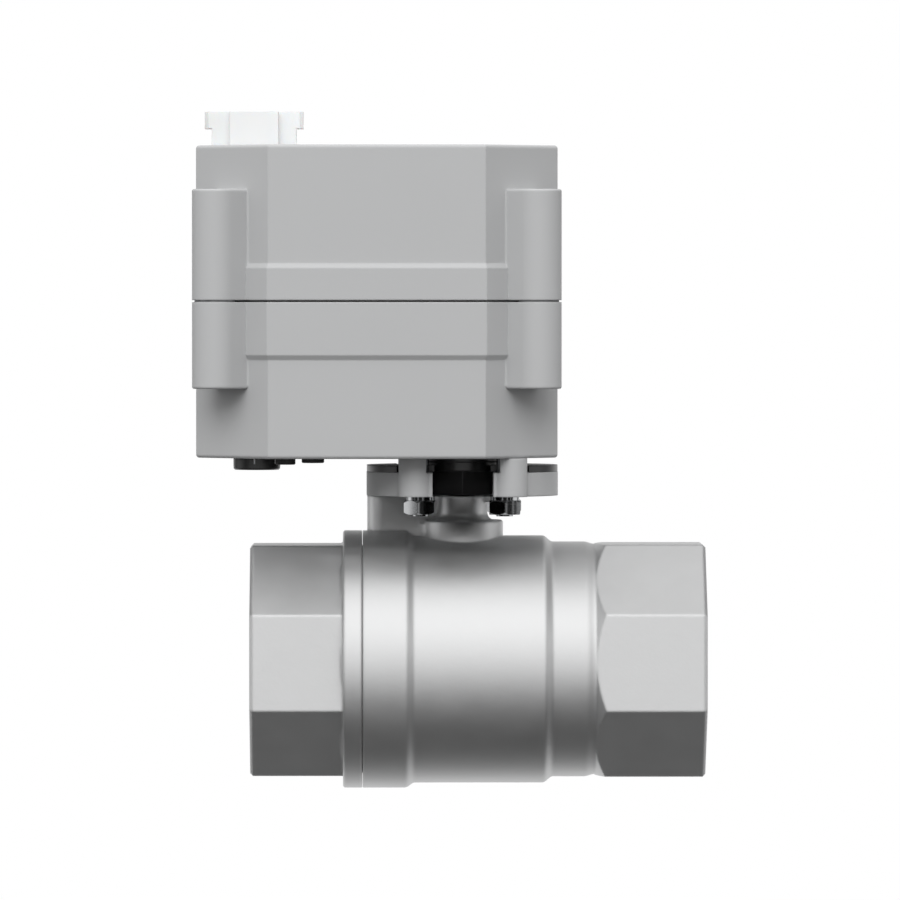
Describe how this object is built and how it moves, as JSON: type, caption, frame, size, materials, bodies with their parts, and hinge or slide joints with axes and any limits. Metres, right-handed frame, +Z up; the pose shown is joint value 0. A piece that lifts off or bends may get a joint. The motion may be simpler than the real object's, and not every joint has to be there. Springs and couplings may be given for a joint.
{
  "type": "motorised ball valve",
  "caption": "Two-piece stainless ball valve with threaded ports, a round mounting yoke and an eight-sided electric actuator with an open gear train inside.",
  "frame": {"origin": "centre of the inlet port's mouth, on the flow axis", "axes": "+X along the flow from inlet to outlet, +Z up the stem axis to the actuator, +Y away from the side that the picture shows"},
  "size_m": [0.0911, 0.046, 0.1207],
  "materials": {
    "cast_steel": "blasted stainless casting",
    "polished_steel": "polished",
    "machined_steel": "turned",
    "screw_steel": "bright plated",
    "plated_steel": "zinc plated",
    "bronze": "turned",
    "grey_plastic": "light grey, moulded with a fine grain",
    "black_plastic": "black, satin",
    "white_plastic": "white, moulded",
    "red_plastic": "red, moulded",
    "blue_plastic": "blue, moulded",
    "gear_plastic": "natural acetal",
    "seal_white": "smooth PTFE",
    "black_rubber": "matt",
    "board_green": "coated glass fibre board"
  },
  "bodies": {
    "valve": {"valve_body": "cast_steel", "end_cap": "cast_steel", "body_seal": "seal_white", "inlet_seat": "seal_white", "outlet_seat": "seal_white", "thrust_washer": "seal_white", "mount_yoke": "grey_plastic", "yoke_ring": "black_plastic", "mount_bolts": "screw_steel", "mount_nuts": "screw_steel", "spring_washers": "screw_steel", "housing_base": "grey_plastic", "housing_cover": "grey_plastic", "housing_gasket": "black_rubber", "housing_screws": "screw_steel", "lower_bush": "bronze", "upper_bush": "bronze", "second_arbor": "machined_steel", "knob_seal": "black_rubber", "gearhead": "plated_steel", "motor": "plated_steel", "motor_screws": "screw_steel", "gear_plate": "plated_steel", "plate_posts": "bronze", "plate_screws": "screw_steel", "open_switch": "black_plastic", "closed_switch": "black_plastic", "circuit_board": "board_green", "relay": "blue_plastic", "board_screws": "screw_steel", "power_socket": "white_plastic", "socket_pins": "bronze", "blanking_plugs": "black_rubber"},
    "drive": {"ball": "polished_steel", "stem": "machined_steel", "stem_o_rings": "black_rubber", "coupling": "black_plastic", "output_shaft": "machined_steel", "sector_gear": "gear_plastic", "cam": "gear_plastic"},
    "second_train": {"second_gear": "gear_plastic"},
    "first_train": {"first_gear": "gear_plastic", "manual_shaft": "machined_steel", "manual_knob": "black_plastic"},
    "motor_drive": {"motor_pinion": "bronze", "motor_shaft": "machined_steel"},
    "open_button": {"open_button": "red_plastic"},
    "closed_button": {"closed_button": "red_plastic"}
  },
  "joints": [
    {"name": "ball_turn", "type": "hinge", "parent": "valve", "child": "drive", "pos_m": [0.0378, 0, 0], "axis": [0, 0, -1], "range_deg": [0, 90]},
    {"name": "second_gear_turn", "type": "hinge", "parent": "valve", "child": "second_train", "pos_m": [0.0158, 0, 0.0495], "axis": [0, 0, -1], "range_deg": [-325, 0]},
    {"name": "first_gear_turn", "type": "hinge", "parent": "valve", "child": "first_train", "pos_m": [0.0011, 0, 0.0495], "axis": [0, 0, -1], "range_deg": [0, 1000]},
    {"name": "motor_turn", "type": "hinge", "parent": "valve", "child": "motor_drive", "pos_m": [0.00976, 0.005, 0.053], "axis": [0, 0, -1], "range_deg": [-2330, 0]},
    {"name": "open_button_slide", "type": "slide", "parent": "valve", "child": "open_button", "axis": [0, 1, 0], "range_m": [0, 0.001]},
    {"name": "closed_button_slide", "type": "slide", "parent": "valve", "child": "closed_button", "axis": [0, 1, 0], "range_m": [0, 0.001]}
  ],
  "couplings": [
    {"joint": "second_gear_turn", "follows": "ball_turn", "ratio": -3.5833},
    {"joint": "first_gear_turn", "follows": "ball_turn", "ratio": 11.049},
    {"joint": "motor_turn", "follows": "ball_turn", "ratio": -25.78},
    {"joint": "open_button_slide", "follows": "ball_turn", "m_per_rad": 0.00063656},
    {"joint": "closed_button_slide", "follows": "ball_turn", "m_per_rad": 0.00063656}
  ]
}
